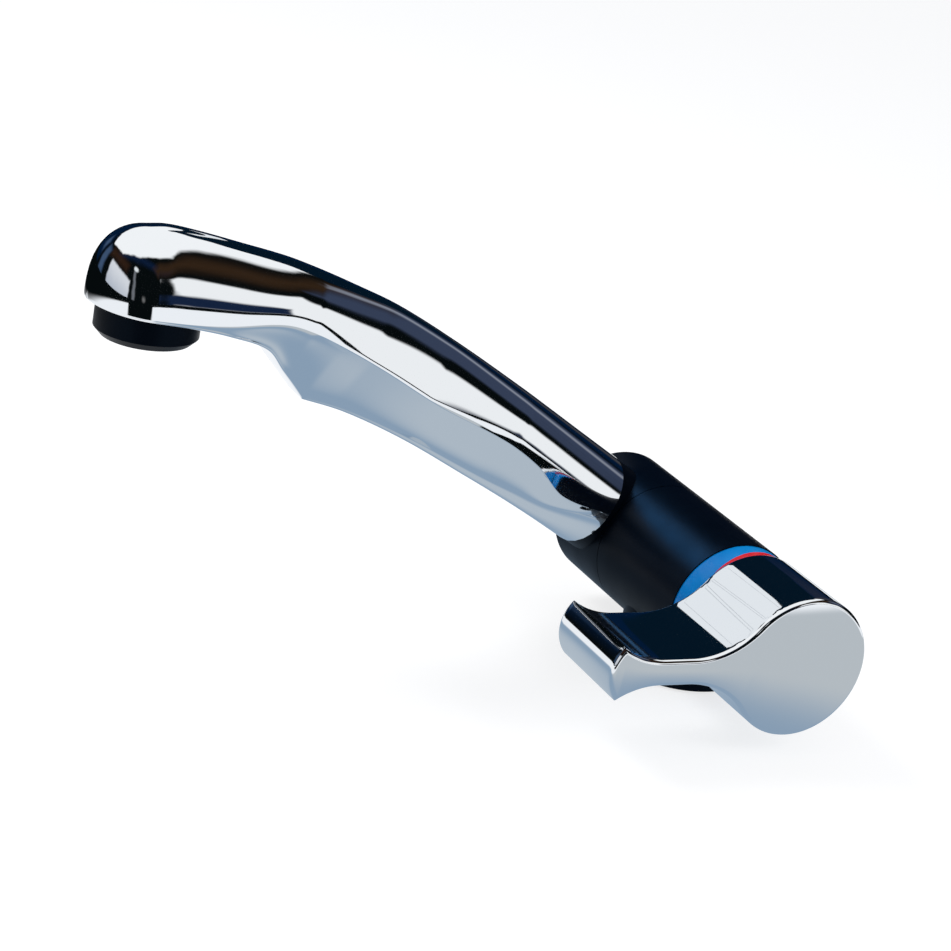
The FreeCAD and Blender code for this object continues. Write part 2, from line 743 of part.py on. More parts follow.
head_hollow_stations = [
    (-136.0, 84.3, 13.5, 27.0, 14.2, 13.0, 11.5, 2.0),
    (-147.0, 86.8, 11.0, 27.5, 15.0, 13.2, 14.4, 0.8),
    (-160.0, 89.5, 9.0, 28.0, 15.7, 13.5, 15.5, 0.8),
    (-168.5, 90.8, 4.0, 28.5, 15.9, 14.0, 15.8, 0.8),
    (-174.5, 90.6, 0.0, 28.0, 15.9, 14.0, 15.8, 0.8),
    (-180.0, 88.8, 0.0, 26.0, 14.6, 13.5, 14.5, 0.8),
    (-184.2, 85.9, 0.0, 23.0, 11.9, 11.8, 11.8, 0.8),
    (-186.3, 83.6, 0.0, 21.0, 9.4, 9.8, 9.3, 0.8),
]


def section(station, inset=0.0):
    """Closed wire of one cross-section: a round top, sides that draw in to the keel, a flat foot."""
    top_y, top_z, slope, height, half, round_top, keel, corner = station
    a = math.radians(slope)
    half -= inset
    round_top -= inset
    keel -= inset
    height -= 2.0 * inset
    corner = min(corner, height / 2.2, keel * 0.9)

    def at(w, h):
        down = h + inset
        return vec(spout_x + w, top_y - down * math.sin(a), axis_height + top_z - down * math.cos(a))

    side = []
    for i in range(1, 7):
        t = math.radians(15.0 * i)
        side.append((half * math.sin(t), round_top * (1.0 - math.cos(t))))
    straight = height - corner - round_top
    for i in range(1, 5):
        s = i / 4.0
        side.append((keel + (half - keel) * (1.0 - s) ** keel_fall, round_top + straight * s))
    for i in range(1, 4):
        t = math.radians(30.0 * i - 4.0)
        side.append((keel - corner * (1.0 - math.cos(t)), height - corner * (1.0 - math.sin(t))))
    left = [at(-w, h) for w, h in reversed(side)]
    right = [at(w, h) for w, h in side]
    curve = Part.BSplineCurve()
    curve.interpolate(left + [at(0.0, 0.0)] + right)
    foot = Part.LineSegment(right[-1], left[0])
    return Part.Wire([curve.toShape(), foot.toShape()])


def refine(stations, steps):
    """More stations between the given ones, on a smooth curve through them."""
    fine = []
    last = len(stations) - 1
    for i in range(last):
        before, here = stations[max(i - 1, 0)], stations[i]
        there, after = stations[i + 1], stations[min(i + 2, last)]
        run = here[0] - there[0]
        run_before = before[0] - here[0]
        run_after = there[0] - after[0]
        for k in range(steps):
            t = k / steps
            row = []
            for p, q, r, u in zip(before, here, there, after):
                into = (r - p) * run / (run + run_before)
                out = (u - q) * run / (run + run_after)
                row.append((1 + 2 * t) * (1 - t) ** 2 * q + t * (1 - t) ** 2 * into
                           + t * t * (3 - 2 * t) * r + t * t * (t - 1) * out)
            fine.append(tuple(row))
    return fine + [stations[-1]]


def loft(stations, inset=0.0, steps=1):
    return Part.makeLoft([section(s, inset) for s in refine(stations, steps)], True, True)


def spout_outer():
    return loft(spout_stations, 0.0, 4).fuse(loft(head_stations, 0.0, 3))


def spout_hollow():
    tube = loft(hollow_stations, spout_wall, 2)
    head = loft(head_hollow_stations, spout_wall, 2)
    return tube, head


def spout_screw_hole(radius=spout_screw_radius + fixed_gap):
    a = math.radians(root_angle)
    start = fold_axis(boss_out + spout_screw_along, -screw_reach)
    length = screw_reach - nose_radius + spout_screw_depth
    return Part.makeCylinder(radius, length, start, vec(0, math.sin(a), math.cos(a)))


def spout_screw():
    a = math.radians(root_angle)
    start = fold_axis(boss_out + spout_screw_along, -nose_radius - spout_screw_out)
    return Part.makeCylinder(spout_screw_radius, spout_screw_length, start, vec(0, math.sin(a), math.cos(a)))


# Points (y, z above the axis) of the inner water tube after it leaves the root in a straight line
tube_points = [(-100.0, 57.0), (-141.0, 70.0), (-157.0, 72.6)]


def tube_wire():
    """Centre line of the inner water tube: straight runs joined by tangent arcs."""
    pts = [fold_axis(boss_out + tube_seat + part_gap), fold_axis(tube_straight)]
    pts += [vec(spout_x, y, axis_height + z) for y, z in tube_points]
    edges = []
    here = pts[0]
    for i in range(1, len(pts) - 1):
        into = (pts[i] - pts[i - 1]).normalize()
        out = (pts[i + 1] - pts[i]).normalize()
        turn = into.getAngle(out)
        run = min((pts[i] - pts[i - 1]).Length, (pts[i + 1] - pts[i]).Length)
        radius = min(tube_bend, 0.45 * run / math.tan(turn / 2.0))
        cut = radius * math.tan(turn / 2.0)
        first = pts[i] - into * cut
        last = pts[i] + out * cut
        bisect = (out - into).normalize()
        mid = pts[i] + bisect * (radius / math.cos(turn / 2.0) - radius)
        edges.append(Part.LineSegment(here, first).toShape())
        edges.append(Part.Arc(first, mid, last).toShape())
        here = last
    edges.append(Part.LineSegment(here, pts[-1]).toShape())
    return Part.Wire(edges), pts


def swept(radius):
    wire, pts = tube_wire()
    circle = Part.Wire(Part.makeCircle(radius, pts[0], pts[1] - pts[0]))
    return wire.makePipeShell([circle], True, False)


def spout_tube():
    return swept(tube_radius).cut(swept(tube_bore))


# Lower rim of the head as points (y, z above the axis)
head_rim = [(-190.0, 69.1), (-168.0, 66.8), (-150.0, 64.1), (-141.0, 61.3)]


def head_insert(head_hollow):
    low = [vec(0, y, axis_height + z + head_floor_up) for y, z in head_rim]
    high = [p + vec(0, 0, head_floor_height) for p in reversed(low)]
    face = Part.Face(Part.makePolygon(low + high + [low[0]]))
    face.translate(vec(spout_x - body_radius, 0, 0))
    plate = face.extrude(vec(2.0 * body_radius, 0, 0)).common(head_hollow)
    tube_end = tube_points[-1]
    socket_top = axis_height + tube_end[1] + socket_height / 2.0
    bottom = outlet_bottom + aerator_height
    socket = box(spout_x - socket_half_width, spout_x + socket_half_width,
                 outlet_y - socket_back, tube_end[0] + socket_over_tube, bottom, socket_top)
    well_top = bottom + aerator_neck_height + aerator_well_floor
    well = cyl_z(bottom, well_top, aerator_neck_radius + aerator_well_wall, spout_x, outlet_y)
    insert = plate.fuse(socket.fuse(well).common(head_hollow))
    insert = insert.cut(cyl_z(outlet_bottom, bottom + aerator_neck_height + aerator_seal_height,
                              aerator_neck_radius + fixed_gap, spout_x, outlet_y))
    insert = insert.cut(cyl_z(outlet_bottom, bottom + fixed_gap, aerator_radius + fixed_gap,
                              spout_x, outlet_y))
    duct_z = axis_height + tube_end[1]
    duct = cyl_z(bottom, duct_z, socket_duct, spout_x, outlet_y)
    duct = duct.fuse(Part.makeCylinder(tube_bore, tube_end[0] - outlet_y + 1.0,
                                       vec(spout_x, outlet_y, duct_z - socket_duct_drop), vec(0, 1, 0)))
    return insert.cut(duct).cut(swept(tube_radius + fixed_gap)).removeSplitter()


def aerator_room():
    return cyl_z(outlet_bottom, outlet_bottom + aerator_height + fixed_gap, aerator_radius + 2.0 * fixed_gap,
                 spout_x, outlet_y)


def aerator_housing():
    bottom = outlet_bottom
    top = bottom + aerator_height
    body = cyl_z(bottom, top, aerator_radius, spout_x, outlet_y)
    rim = [e for e in body.Edges if e.BoundBox.ZMax < bottom + 1e-6]
    body = body.makeChamfer(aerator_bevel, rim)
    body = body.fuse(cyl_z(top - 1.0, top + aerator_neck_height, aerator_neck_radius, spout_x, outlet_y))
    body = body.cut(cyl_z(bottom - 1.0, top - aerator_floor, aerator_bore, spout_x, outlet_y))
    body = body.cut(cyl_z(bottom, top + aerator_neck_height + 1.0, aerator_duct, spout_x, outlet_y))
    return body.removeSplitter()


def aerator_insert():
    start = outlet_bottom + mesh_recess
    top = outlet_bottom + aerator_height
    disc = cyl_z(start, top - aerator_floor, aerator_bore - fixed_gap, spout_x, outlet_y)
    disc = disc.cut(cyl_z(start + mesh_height, top, aerator_bore - mesh_wall, spout_x, outlet_y))
    holes = []
    for ring in range(1, mesh_rings + 1):
        for i in range(6 * ring):
            a = 2.0 * math.pi * i / (6 * ring)
            x = spout_x + ring * mesh_pitch * math.cos(a)
            y = outlet_y + ring * mesh_pitch * math.sin(a)
            holes.append(cyl_z(start - 1.0, start + mesh_height + 1.0, mesh_hole, x, y))
    return disc.cut(Part.makeCompound(holes))


def aerator_seal():
    bottom = outlet_bottom + aerator_height + aerator_neck_height
    return tube_z(bottom, bottom + aerator_seal_height, aerator_neck_radius, aerator_duct, spout_x, outlet_y)


def main():
    os.makedirs("parts", exist_ok=True)
    save("base_flange", base_flange())
    save("base_gasket", base_gasket())
    save("mounting_shank", mounting_shank())
    rubber, steel, nut = clamp_stack()
    save("clamp_rubber_washer", rubber)
    save("clamp_steel_washer", steel)
    save("mounting_nut", nut)
    save("base_slip_ring", slip_ring())
    save("body_shell", body_shell())
    save("swivel_sleeve", swivel_sleeve())
    save("sleeve_clip", sleeve_clip())
    save("hot_tail", tail(1))
    save("cold_tail", tail(-1))
    save("sleeve_grommet", grommet())
    save("water_block", water_block())
    save("cartridge_base", cartridge_base())
    save("port_seals", port_seals())
    save("fixed_disc", fixed_disc())
    save("cartridge_housing", cartridge_housing())
    save("cartridge_nut", cartridge_nut())
    save("micro_switch", micro_switch())
    save("switch_plunger", switch_plunger())
    save("cartridge_rotor", cartridge_rotor())
    save("pivot_pin", pivot_pin())
    save("moving_disc", moving_disc())
    save("disc_carrier", disc_carrier())
    ring = dome()
    red = red_side()
    save("indicator_ring", ring.cut(red))
    save("indicator_red", ring.common(red))
    save("lever", lever())
    save("lever_stem", lever_stem())
    save("lever_set_screw", lever_set_screw())
    save("lever_screw_plug", lever_screw_plug())
    save("fold_stop_pin", stop_pin())
    save("spigot", spigot())
    save("spigot_orings", spigot_orings())
    save("end_washer", end_washer())
    save("end_screw", end_screw())
    save("swivel_ring", swivel_ring())
    save("ring_end_cap", ring_end_cap())
    save("nose_seal", nose_seal())
    tube_hollow, head_hollow = spout_hollow()
    shell = spout_outer().cut(tube_hollow).cut(head_hollow).cut(aerator_room())
    save("spout_shell", shell.cut(spout_screw_hole(spout_screw_radius + 0.2)))
    save("spout_screw", spout_screw())
    save("spout_tube", spout_tube())
    save("head_insert", head_insert(head_hollow))
    save("aerator_housing", aerator_housing())
    save("aerator_insert", aerator_insert())
    save("aerator_seal", aerator_seal())


main()
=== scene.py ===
import json
import math
import bpy
import bmesh
from mathutils import Matrix, Vector


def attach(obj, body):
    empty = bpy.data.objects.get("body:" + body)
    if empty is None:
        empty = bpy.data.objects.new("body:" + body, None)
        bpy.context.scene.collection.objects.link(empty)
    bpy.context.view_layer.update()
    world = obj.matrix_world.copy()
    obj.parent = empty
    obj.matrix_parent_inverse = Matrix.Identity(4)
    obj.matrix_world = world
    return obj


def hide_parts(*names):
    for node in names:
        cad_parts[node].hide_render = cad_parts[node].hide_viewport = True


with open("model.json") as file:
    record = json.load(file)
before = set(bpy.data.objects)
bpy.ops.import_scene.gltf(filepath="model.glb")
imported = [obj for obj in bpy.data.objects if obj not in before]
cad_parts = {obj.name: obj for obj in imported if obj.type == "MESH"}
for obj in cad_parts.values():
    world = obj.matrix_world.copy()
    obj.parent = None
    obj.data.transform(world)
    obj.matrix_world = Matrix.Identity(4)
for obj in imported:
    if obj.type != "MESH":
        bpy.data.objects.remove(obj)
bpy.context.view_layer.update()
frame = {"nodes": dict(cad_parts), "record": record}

# Sizes in metres, in the part's frame: origin under the base, body axis along X, spout towards -Y.
axis_height = 0.028
spout_x = -0.0378
lever_back = 0.02985
lever_depth = 0.0325
lever_face = lever_back + lever_depth

# Camera: found from the photo's round edges.
camera_place = (0.56144, -0.394316, 0.288276)
camera_azimuth = math.radians(60.842)
camera_elevation = math.radians(19.457)
camera_roll = math.radians(10.946)
camera_lens = 90.85
camera_sensor = 36.0
camera_clip = (0.01, 50.0)

# Edges sharper than these angles, in degrees, stay sharp in the smooth shading.
solid_sharp = 30.0
spout_sharp = 32.0
lever_sharp = 35.0

# Sides of the rods that cut screw holes.
small_count = 48


# Small helpers

def new_object(name, mesh):
    obj = bpy.data.objects.new(name, mesh)
    bpy.context.scene.collection.objects.link(obj)
    return obj


def mesh_from(name, verts, faces, sharp_degrees=solid_sharp):
    """Object from points and faces, smooth shaded, with sharp edges above an angle."""
    mesh = bpy.data.meshes.new(name)
    mesh.from_pydata([tuple(v) for v in verts], [], faces)
    mesh.validate()
    bm = bmesh.new()
    bm.from_mesh(mesh)
    bmesh.ops.recalc_face_normals(bm, faces=bm.faces)
    bm.to_mesh(mesh)
    bm.free()
    shade(mesh, sharp_degrees)
    return new_object(name, mesh)


def shade(mesh, sharp_degrees):
    mesh.shade_smooth()
    mesh.set_sharp_from_angle(angle=math.radians(sharp_degrees))


def dress(obj, material):
    obj.data.materials.clear()
    obj.data.materials.append(material)


def ring_faces(first, second):
    """Quads between two rings of vertex numbers."""
    count = len(first)
    return [(first[i], first[(i + 1) % count], second[(i + 1) % count], second[i])
            for i in range(count)]


def combine(obj, other, operation):
    """Cuts one mesh from another or joins the two, and removes the second."""
    mod = obj.modifiers.new("combine", "BOOLEAN")
    mod.object = other
    mod.operation = operation
    mod.solver = "EXACT"
    graph = bpy.context.evaluated_depsgraph_get()
    result = bpy.data.meshes.new_from_object(obj.evaluated_get(graph))
    obj.modifiers.clear()
    obj.data = result
    bpy.data.objects.remove(other)


def subtract(obj, cutter):
    combine(obj, cutter, "DIFFERENCE")


def rod(start, end, radius, count=96):
    """Closed round rod between two points, for boolean work."""
    start, end = Vector(start), Vector(end)
    turn = (end - start).to_track_quat("Z", "Y")
    verts = []
    for centre in (start, end):
        for i in range(count):
            a = 2.0 * math.pi * i / count
            verts.append(centre + turn @ Vector((radius * math.cos(a), radius * math.sin(a), 0.0)))
    first = list(range(count))
    second = list(range(count, 2 * count))
    faces = ring_faces(first, second) + [tuple(reversed(first)), tuple(second)]
    return mesh_from("rod", verts, faces)


def block(low, high):
    """Closed box between two corners, for boolean work."""
    verts = [(x, y, z)
             for x in (low[0], high[0]) for y in (low[1], high[1]) for z in (low[2], high[2])]
    faces = [(0, 1, 3, 2), (4, 6, 7, 5), (0, 4, 5, 1), (2, 3, 7, 6), (0, 2, 6, 4), (1, 5, 7, 3)]
    return mesh_from("block", verts, faces)


# Materials

def node_material(name, color, metallic=0.0, roughness=0.4, specular=0.5):
    mat = bpy.data.materials.new(name)
    mat.use_nodes = True
    shader = mat.node_tree.nodes["Principled BSDF"]
    shader.inputs["Base Color"].default_value = (*color, 1.0)
    shader.inputs["Metallic"].default_value = metallic
    shader.inputs["Roughness"].default_value = roughness
    shader.inputs["Specular IOR Level"].default_value = specular
    return mat, mat.node_tree, shader


def noise(tree, scale, detail=3.0):
    place = tree.nodes.new("ShaderNodeTexCoord")
    tex = tree.nodes.new("ShaderNodeTexNoise")
    tex.inputs["Scale"].default_value = scale
    tex.inputs["Detail"].default_value = detail
    tree.links.new(place.outputs["Object"], tex.inputs["Vector"])
    return tex


def add_roughness(tree, shader, scale, low, high):
    """Roughness that wanders between two values, as handled and moulded surfaces do."""
    tex = noise(tree, scale)
    span = tree.nodes.new("ShaderNodeMapRange")
    span.inputs["From Min"].default_value = 0.3
    span.inputs["From Max"].default_value = 0.7
    span.inputs["To Min"].default_value = low
    span.inputs["To Max"].default_value = high
    tree.links.new(tex.outputs["Fac"], span.inputs["Value"])
    tree.links.new(span.outputs["Result"], shader.inputs["Roughness"])


def add_bump(tree, shader, scale, strength, distance, detail=3.0):
    tex = noise(tree, scale, detail)
    bump = tree.nodes.new("ShaderNodeBump")
    bump.inputs["Strength"].default_value = strength
    bump.inputs["Distance"].default_value = distance
    tree.links.new(tex.outputs["Fac"], bump.inputs["Height"])
    tree.links.new(bump.outputs["Normal"], shader.inputs["Normal"])


def add_color(tree, shader, scale, dark, light):
    tex = noise(tree, scale)
    ramp = tree.nodes.new("ShaderNodeValToRGB")
    ramp.color_ramp.elements[0].position = 0.35
    ramp.color_ramp.elements[0].color = (*dark, 1.0)
    ramp.color_ramp.elements[1].position = 0.65
    ramp.color_ramp.elements[1].color = (*light, 1.0)
    tree.links.new(tex.outputs["Fac"], ramp.inputs["Fac"])
    tree.links.new(ramp.outputs["Color"], shader.inputs["Base Color"])


def chrome():
    mat, tree, shader = node_material("chrome_plate", (0.86, 0.88, 0.90), 1.0, 0.04)
    add_roughness(tree, shader, 60.0, 0.025, 0.05)
    add_bump(tree, shader, 45.0, 0.03, 0.0002, 1.0)
    return mat


def moulded_black(name, color, low=0.34, high=0.42):
    """Satin black plastic with a weak bluish sheen and a fine moulded grain."""
    mat, tree, shader = node_material(name, color, 0.0, 0.38, 0.08)
    shader.inputs["Specular Tint"].default_value = (0.45, 0.68, 1.0, 1.0)
    add_roughness(tree, shader, 90.0, low, high)
    add_bump(tree, shader, 2600.0, 0.06, 0.00005)
    return mat


def glossy_colour(name, dark, light):
    mat, tree, shader = node_material(name, light, 0.0, 0.3, 0.25)
    add_color(tree, shader, 55.0, dark, light)
    add_roughness(tree, shader, 120.0, 0.24, 0.34)
    return mat


def metal(name, dark, light, low, high):
    mat, tree, shader = node_material(name, light, 1.0, low)
    add_color(tree, shader, 140.0, dark, light)
    add_roughness(tree, shader, 260.0, low, high)
    return mat


def plain_matter(name, dark, light, low, high):
    mat, tree, shader = node_material(name, light, 0.0, high)
    add_color(tree, shader, 180.0, dark, light)
    add_roughness(tree, shader, 300.0, low, high)
    add_bump(tree, shader, 1800.0, 0.08, 0.00005)
    return mat


def make_materials():
    return {
        "chrome_plate": chrome(),
        "body_plastic": moulded_black("body_plastic", (0.0005, 0.0016, 0.0040)),
        "base_plastic": moulded_black("base_plastic", (0.0030, 0.0045, 0.0070), 0.4, 0.5),
        "blue_plastic": glossy_colour("blue_plastic", (0.0005, 0.17, 0.52), (0.001, 0.25, 0.66)),
        "red_plastic": glossy_colour("red_plastic", (0.62, 0.006, 0.016), (0.74, 0.012, 0.024)),
        "inner_plastic": plain_matter("inner_plastic", (0.66, 0.65, 0.61), (0.74, 0.73, 0.69), 0.4, 0.55),
        "brass": metal("brass", (0.60, 0.43, 0.19), (0.72, 0.54, 0.27), 0.22, 0.34),
        "steel": metal("steel", (0.52, 0.53, 0.55), (0.63, 0.64, 0.66), 0.24, 0.36),
        "rubber": plain_matter("rubber", (0.018, 0.018, 0.019), (0.03, 0.03, 0.031), 0.6, 0.8),
        "ceramic": plain_matter("ceramic", (0.80, 0.80, 0.77), (0.86, 0.86, 0.84), 0.15, 0.25),
    }


# Spout

# Stations from the root to the nose. Each row holds the top point (y, and z above the body axis), the
# slope, the full height, the half width, the depth of the shoulder, the half thickness of the keel and
# the radius of the foot's corner. The spout's lengths down to point_gap are in millimetres, as the tap
# was measured, and those from outlet_y on in metres. Angles are in degrees.
spout_stations = [
    (-12.5, 24.6, 29.5, 30.2, 15.6, 15.1, 15.6, 13.5),
    (-27.5, 33.4, 29.5, 30.2, 14.2, 18.8, 11.0, 6.0),
    (-38.5, 39.9, 29.2, 30.7, 13.25, 15.9, 8.8, 4.0),
    (-51.0, 47.2, 28.5, 31.5, 12.4, 15.4, 7.0, 2.5),
    (-73.8, 59.9, 27.5, 32.6, 12.0, 17.8, 6.2, 1.5),
    (-95.0, 70.6, 24.5, 34.4, 12.2, 17.4, 6.0, 1.2),
    (-111.0, 76.7, 20.5, 35.8, 12.8, 16.0, 6.0, 1.0),
    (-122.3, 80.6, 17.5, 30.2, 13.3, 15.4, 7.2, 1.0),
    (-132.0, 83.5, 14.5, 25.2, 14.0, 16.0, 10.5, 0.8),
    (-147.0, 86.8, 11.0, 23.4, 15.0, 19.6, 14.4, 0.6),
    (-160.0, 89.5, 9.0, 23.6, 15.7, 22.0, 15.5, 0.6),
    (-168.5, 90.8, 4.0, 23.9, 15.9, 22.6, 15.8, 0.6),
    (-174.5, 90.6, 0.0, 23.2, 15.9, 22.0, 15.8, 0.6),
]

# The keel ends in a corner at this row: these columns don't run smoothly through it.
keel_end_row = 6
keel_columns = (3, 6, 7)
row_steps = 14

# The round nose past the last station.
nose_steps = 16
nose_turn = 85.0
nose_reach = 14.7
nose_low = 68.0
nose_bluntness = 0.65
foot_lift = 1.5
tip_point = (-189.2, 71.2)

# Walls: at the root's socket, and at the lip round the open underside of the head.
spout_wall = 2.4
root_rows = 9
root_shift = (0.4, -0.2)
lip_wall = 1.5
lip_from = -141.0
lip_half_width = 8.5
lip_cut = 8.0

# The flank: how it falls from the shoulder to the keel, the crease between them, and the stretch near
# the root where the sides stand upright.
keel_fall = 1.6
crease_full = -100.0
crease_gone = -122.0
crease_turn = 24.0
crease_depth = 0.6
crease_height = 0.3
upright_full = -48.0
upright_gone = -78.0
upright_from = 15.1

# The points of a section: over the top, down the upright stretch, down the flank and round the corner
# of the foot, which takes only a share of the section's height and of the keel.
top_steps = 30
upright_steps = 3
flank_steps = 16
corner_steps = 6
height_per_corner = 2.2
corner_per_keel = 0.9
corner_start = 3.0
drop_share = 0.2
least_foot = 1.0
point_gap = 0.03

# The aerator's seat in the head, and the hole of the fixing screw under the root.
outlet_y = -0.171
aerator_low = 0.08
aerator_top = 0.0964
aerator_room = 0.01495
root_angle = 29.5
screw_along = 0.0263
screw_deep = 0.009
screw_far = 0.022
screw_hole = 0.0022


def smooth_rows(rows, steps):
    """More rows between the given ones, on a smooth curve that has a corner where the keel ends."""
    fine = []
    last = len(rows) - 1
    for i in range(last):
        before, here = rows[max(i - 1, 0)], rows[i]
        there, after = rows[i + 1], rows[min(i + 2, last)]
        run = here[0] - there[0]
        for k in range(steps):
            t = k / steps
            row = []
            for column, (p, q, r, u) in enumerate(zip(before, here, there, after)):
                run_before = before[0] - here[0]
                run_after = there[0] - after[0]
                if column in keel_columns and i == keel_end_row:
                    p, run_before = q, 0.0
                if column in keel_columns and i + 1 == keel_end_row:
                    u, run_after = r, 0.0
                into = (r - p) * run / (run + run_before)
                out = (u - q) * run / (run + run_after)
                row.append((1 + 2 * t) * (1 - t) ** 2 * q + t * (1 - t) ** 2 * into
                           + t * t * (3 - 2 * t) * r + t * t * (t - 1) * out)
            fine.append(row)
    return fine + [list(rows[-1])]


def nose_rows(last):
    """The round front of the head: a quarter turn on from the last station, steep near its tip."""
    top_y, top_z, slope, height, half, shoulder, keel, corner = last
    rows = []
    for i in range(1, nose_steps + 1):
        turn = math.radians(nose_turn * i / nose_steps)
        share = math.cos(turn)
        blunt = share ** nose_bluntness
        z = nose_low + (top_z - nose_low) * blunt
        foot = top_z - height + foot_lift * math.sin(turn)
        rows.append([top_y - nose_reach * math.sin(turn), z, slope, z - foot, half * share,
                     min(shoulder * blunt, z - foot - least_foot), keel * share, corner])
    return rows


def share_between(value, none, full):
    """0 at one value, 1 at the other and straight between them."""
    return min(max((value - none) / (full - none), 0.0), 1.0)


def section(row, inset=0.0, extra=0.0):
    """One cross-section as points from the left foot corner over the top to the right one.

    An inset moves it inward, for the cutters that leave a wall, and extra lengthens it downward.
    """
    top_y, top_z, slope, height, half, shoulder, keel, corner = row
    a = math.radians(slope)
    half -= inset
    shoulder -= inset
    keel -= inset
    height -= 2.0 * inset
    corner = min(corner, height / height_per_corner, keel * corner_per_keel)
    share = share_between(top_y, crease_gone, crease_full)
    upright = share_between(top_y, upright_gone, upright_full)
    round_top = shoulder - upright * max(shoulder - upright_from, 0.0)
    end_turn = math.radians(90.0 - crease_turn * share * (1.0 - upright))
    side = []
    for i in range(1, top_steps + 1):
        t = end_turn * i / top_steps
        side.append((half * math.sin(t) / math.sin(end_turn),
                     round_top * (1.0 - math.cos(t)) / (1.0 - math.cos(end_turn))))
    for i in range(1, upright_steps + 1):
        side.append((half, round_top + (shoulder - round_top + point_gap) * i / upright_steps))
    straight = height - corner - shoulder
    drop = min(crease_height, drop_share * straight)
    ledge = half - crease_depth * share
    for i in range(flank_steps + 1):
        s = i / flank_steps
        fall = share * (1.0 - s) ** keel_fall + (1.0 - share) * (1.0 - s * s * (3.0 - 2.0 * s))
        side.append((keel + max(ledge - keel, 0.0) * fall, shoulder + drop + (straight - drop) * s))
    if extra:
        side.append((keel, height))
        side.append((keel, height + extra))
    else:
        for i in range(1, corner_steps + 1):
            t = math.radians(90.0 * i / corner_steps - corner_start)
            side.append((keel - corner * (1.0 - math.cos(t)), height - corner * (1.0 - math.sin(t))))

    def at(w, h):
        down = h + inset
        return Vector((spout_x + w / 1000.0, (top_y - down * math.sin(a)) / 1000.0,
                       axis_height + (top_z - down * math.cos(a)) / 1000.0))

    return [at(-w, h) for w, h in reversed(side)] + [at(0.0, 0.0)] + [at(w, h) for w, h in side]


def tube_mesh(name, rows, inset=0.0, extra=0.0, tip=None):
    """Closed skin through the sections of the rows."""
    verts = []
    faces = []
    rings = []
    for row in rows:
        points = section(row, inset, extra)
        rings.append(list(range(len(verts), len(verts) + len(points))))
        verts.extend(points)
    for first, second in zip(rings, rings[1:]):
        faces.extend(ring_faces(first, second))
    faces.append(tuple(reversed(rings[0])))
    if tip is None:
        faces.append(tuple(rings[-1]))
    else:
        verts.append(Vector((spout_x, tip[0] / 1000.0, axis_height + tip[1] / 1000.0)))
        end = len(verts) - 1
        last = rings[-1]
        faces.extend((last[i], last[(i + 1) % len(last)], end) for i in range(len(last)))
    return mesh_from(name, verts, faces)


def spout_shell():
    """The plated shell: skin, open underside of the head, seat of the aerator, root socket, screw hole."""
    rows = smooth_rows(spout_stations, row_steps)
    rows += nose_rows(spout_stations[-1])
    shell = tube_mesh("spout_skin", rows, tip=tip_point)
    head = [r for r in rows if r[0] < lip_from and r[4] > lip_half_width]
    subtract(shell, tube_mesh("head_cutter", head, lip_wall, lip_cut))
    subtract(shell, rod((spout_x, outlet_y, aerator_low), (spout_x, outlet_y, aerator_top), aerator_room))
    root = [list(r) for r in rows[:root_rows]]
    root[0][0] += root_shift[0]
    root[0][1] += root_shift[1]
    subtract(shell, tube_mesh("root_cutter", root, spout_wall))
    turn = math.radians(root_angle)
    along = Vector((0.0, -math.cos(turn), math.sin(turn))) * screw_along
    down = Vector((0.0, -math.sin(turn), -math.cos(turn)))
    centre = Vector((spout_x, 0.0, axis_height)) + along
    subtract(shell, rod(centre + down * screw_deep, centre + down * screw_far, screw_hole, small_count))
    shade(shell.data, spout_sharp)
    return shell


# Lever

def arc_points(centre, radius, start, end, count):
    """Points on an arc in the YZ plane, without the last one."""
    return [(centre[0] + radius * math.cos(start + (end - start) * i / count),
             centre[1] + radius * math.sin(start + (end - start) * i / count)) for i in range(count)]


# Outline, in metres from the body axis: the disc, the waist of the arm and the flared tip.
lever_radius = 0.0213
lever_neck = 0.0039
lever_blend = 0.026
lever_flare_start = 0.046
lever_flare_radius = 0.024
lever_corner = 0.0594
lever_tip = 0.0624
lever_round = 0.0013

# Points along the outline's arcs and straights, and rings on the rounded edges and along the depth.
disc_steps = 150
blend_steps = 36
arm_steps = 8
flare_steps = 24
tip_steps = 30
round_steps = 5
depth_steps = 24

# The pocket behind the disc, and the boss with the holes for the stem, its set screw and the plug.
pocket_mouth = 0.0195
pocket_inner = 0.0179
pocket_count = 192
mouth_depth = 0.004
front_wall = 0.003
boss_back = 0.0413
boss_radius = 0.008
pillar_radius = 0.005
stem_half = 0.00305
stem_end = 0.0522
pillar_start = 0.0025
set_screw_x = 0.04835
set_screw_room = 0.00255
plug_room = 0.00355
plug_top = 0.0022

# Cutters run this far past the faces that they open.
past = 0.001


